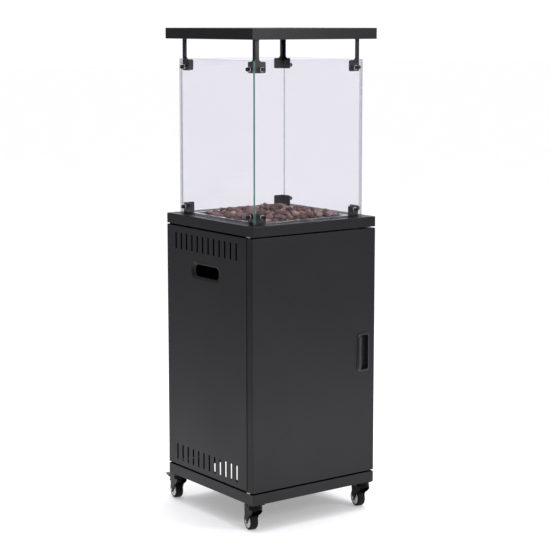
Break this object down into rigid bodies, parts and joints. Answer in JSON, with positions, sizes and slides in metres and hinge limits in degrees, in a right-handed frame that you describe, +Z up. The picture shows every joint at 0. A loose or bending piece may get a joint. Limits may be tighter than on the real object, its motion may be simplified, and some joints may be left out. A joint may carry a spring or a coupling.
{
  "type": "patio heater",
  "caption": "Free-standing gas patio heater: square cabinet on castors with a hinged front door, lava stone fire tray behind clear glass, flat canopy on corner posts.",
  "frame": {"origin": "on the floor under the middle of the square cabinet", "axes": "+X to the right side, +Y to the rear, +Z up; the door faces -Y"},
  "size_m": [0.4262, 0.4724, 1.36],
  "materials": {
    "powder_coat": "satin black fine-texture powder coat on folded steel sheet",
    "bracket_coat": "satin black powder coat on 3 mm bent steel",
    "glass": "clear tempered glass with ground green edges",
    "stainless": "brushed stainless steel sheet",
    "lava_stone": "rough brown and mauve lava stone, open-pored and matt",
    "burner_steel": "heat-tinted stainless tube",
    "galvanised": "galvanised sheet steel",
    "black_oxide": "black oxide steel screws",
    "pad_rubber": "heat-resistant silicone rubber pads",
    "washer_nylon": "light grey fibre washers",
    "zinc_fastener": "zinc-plated steel",
    "brass": "machined brass",
    "copper_pipe": "drawn aluminium gas tube",
    "black_plastic": "black moulded plastic with a fine spark texture",
    "button_red": "red moulded button",
    "nylon_white": "natural nylon",
    "magnet": "magnetic catch in a dark plastic case",
    "castor_steel": "black painted pressed steel",
    "castor_hub": "pale grey moulded polypropylene wheel centre",
    "castor_tyre": "dark grey thermoplastic rubber tread",
    "brake_lever": "dark grey moulded lever"
  },
  "bodies": {
    "cabinet": {"base_pan": "powder_coat", "castor_plates": "castor_steel", "uprights": "powder_coat", "left_panel": "powder_coat", "right_panel": "powder_coat", "rear_panel": "powder_coat", "rear_panel_screws": "zinc_fastener", "deck": "powder_coat", "rock_tray": "stainless", "lava_rocks": "lava_stone", "burner": "burner_steel", "heat_shield": "galvanised", "pilot_probes": "zinc_fastener", "glass_front": "glass", "glass_rear": "glass", "glass_left": "glass", "glass_right": "glass", "lower_clamps": "bracket_coat", "clamp_pads": "pad_rubber", "clamp_washers": "washer_nylon", "clamp_screws": "black_oxide", "post_fl": "bracket_coat", "post_fr": "bracket_coat", "post_rl": "bracket_coat", "post_rr": "bracket_coat", "canopy": "powder_coat", "canopy_rivets": "zinc_fastener", "control_panel": "powder_coat", "gas_valve": "brass", "igniter": "black_plastic", "gas_inlet": "brass", "gas_pipe": "copper_pipe", "door_pivots": "zinc_fastener", "magnet_catch": "magnet"},
    "door": {"door_shell": "powder_coat", "door_liner": "powder_coat", "door_pull": "black_plastic", "door_bushes": "nylon_white", "strike_plate": "zinc_fastener"},
    "valve_plunger": {"valve_plunger": "zinc_fastener"},
    "control_knob": {"control_knob": "black_plastic"},
    "igniter_button": {"igniter_button": "button_red"},
    "castor_fl": {"fork_fl": "castor_steel", "axle_fl": "zinc_fastener"},
    "wheel_fl": {"wheel_fl": "castor_hub", "tyre_fl": "castor_tyre"},
    "castor_fr": {"fork_fr": "castor_steel", "axle_fr": "zinc_fastener"},
    "wheel_fr": {"wheel_fr": "castor_hub", "tyre_fr": "castor_tyre"},
    "castor_rl": {"fork_rl": "castor_steel", "axle_rl": "zinc_fastener"},
    "wheel_rl": {"wheel_rl": "castor_hub", "tyre_rl": "castor_tyre"},
    "brake_rl": {"brake_rl": "brake_lever"},
    "castor_rr": {"fork_rr": "castor_steel", "axle_rr": "zinc_fastener"},
    "wheel_rr": {"wheel_rr": "castor_hub", "tyre_rr": "castor_tyre"},
    "brake_rr": {"brake_rr": "brake_lever"}
  },
  "joints": [
    {"name": "door_hinge", "type": "hinge", "parent": "cabinet", "child": "door", "pos_m": [-0.205, -0.1885, 0.46], "axis": [0, 0, -1], "range_deg": [0, 110]},
    {"name": "knob_push", "type": "slide", "parent": "cabinet", "child": "valve_plunger", "axis": [0, 1, 0], "range_m": [0, 0.003], "stiffness_N_per_m": 1500},
    {"name": "knob_turn", "type": "hinge", "parent": "valve_plunger", "child": "control_knob", "pos_m": [0, -0.165, 0.758], "axis": [0, 1, 0], "range_deg": [-210, 0]},
    {"name": "igniter_press", "type": "slide", "parent": "cabinet", "child": "igniter_button", "axis": [0, 1, 0], "range_m": [0, 0.004], "stiffness_N_per_m": 1200},
    {"name": "swivel_fl", "type": "hinge", "parent": "cabinet", "child": "castor_fl", "pos_m": [-0.188, -0.188, 0.067], "axis": [0, 0, 1], "continuous": true},
    {"name": "roll_fl", "type": "hinge", "parent": "castor_fl", "child": "wheel_fl", "pos_m": [-0.18366, -0.16338, 0.025], "axis": [-0.9848, 0.1736, 0], "continuous": true},
    {"name": "swivel_fr", "type": "hinge", "parent": "cabinet", "child": "castor_fr", "pos_m": [0.188, -0.188, 0.067], "axis": [0, 0, 1], "continuous": true},
    {"name": "roll_fr", "type": "hinge", "parent": "castor_fr", "child": "wheel_fr", "pos_m": [0.19234, -0.16338, 0.025], "axis": [-0.9848, 0.1736, 0], "continuous": true},
    {"name": "swivel_rl", "type": "hinge", "parent": "cabinet", "child": "castor_rl", "pos_m": [-0.188, 0.188, 0.067], "axis": [0, 0, 1], "continuous": true},
    {"name": "roll_rl", "type": "hinge", "parent": "castor_rl", "child": "wheel_rl", "pos_m": [-0.18366, 0.21262, 0.025], "axis": [-0.9848, 0.1736, 0], "continuous": true},
    {"name": "brake_rl_press", "type": "hinge", "parent": "castor_rl", "child": "brake_rl", "pos_m": [-0.1821, 0.22148, 0.057], "axis": [-0.9848, 0.1736, 0], "range_deg": [0, 12]},
    {"name": "swivel_rr", "type": "hinge", "parent": "cabinet", "child": "castor_rr", "pos_m": [0.188, 0.188, 0.067], "axis": [0, 0, 1], "continuous": true},
    {"name": "roll_rr", "type": "hinge", "parent": "castor_rr", "child": "wheel_rr", "pos_m": [0.19234, 0.21262, 0.025], "axis": [-0.9848, 0.1736, 0], "continuous": true},
    {"name": "brake_rr_press", "type": "hinge", "parent": "castor_rr", "child": "brake_rr", "pos_m": [0.1939, 0.22148, 0.057], "axis": [-0.9848, 0.1736, 0], "range_deg": [0, 12]}
  ]
}
